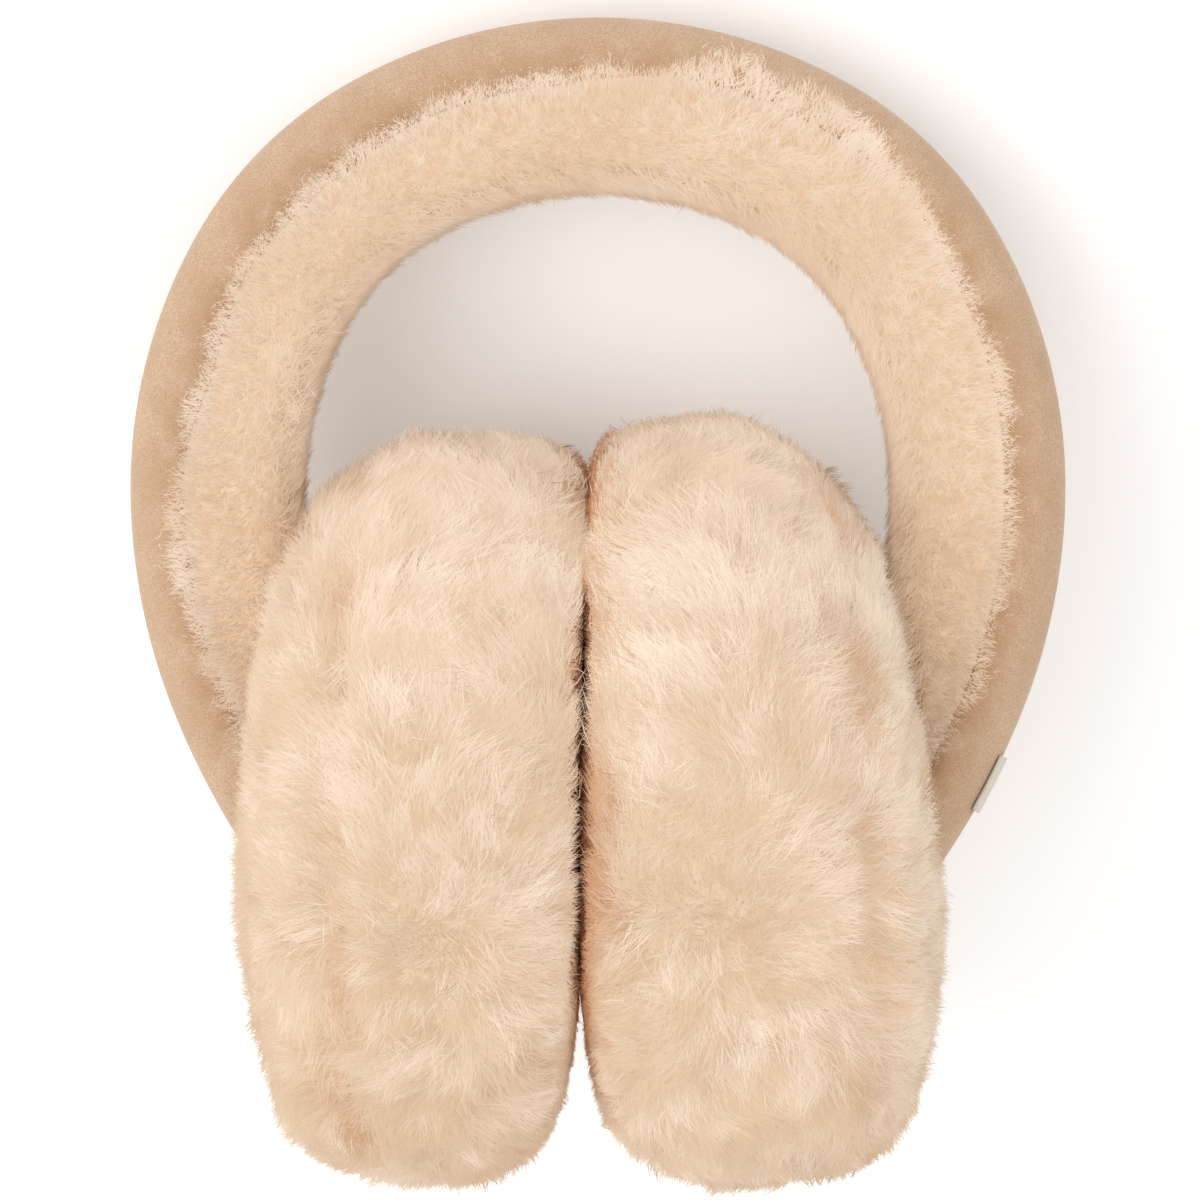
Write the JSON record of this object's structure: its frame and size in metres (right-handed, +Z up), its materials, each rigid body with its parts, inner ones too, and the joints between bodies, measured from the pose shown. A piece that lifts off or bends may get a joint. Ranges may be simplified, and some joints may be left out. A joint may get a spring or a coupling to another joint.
{
  "type": "fur earmuffs",
  "caption": "Padded suede headband lined with deep sheepskin, with a thick round sheepskin ear pad on each end, lying flat as when taken off.",
  "frame": {"origin": "under the middle of the whole thing, on the table that it lies on", "axes": "+Z up from the table, +Y from the ear pads towards the crown of the band, +X to the right of whoever looks at the front of the arch"},
  "size_m": [0.1596, 0.1968, 0.1304],
  "materials": {
    "suede": "tan suede, matt, with a fine mottled nap",
    "band_pile": "short dense cream sheepskin pile, matt",
    "pad_pile": "deep clumped cream sheepskin pile, soft and matt",
    "label": "plain woven label, matt"
  },
  "bodies": {
    "root": {"band_suede": "suede", "band_fur": "band_pile", "label": "label", "cushion_left": "pad_pile", "back_left": "pad_pile", "cushion_right": "pad_pile", "back_right": "pad_pile"}
  },
  "joints": []
}
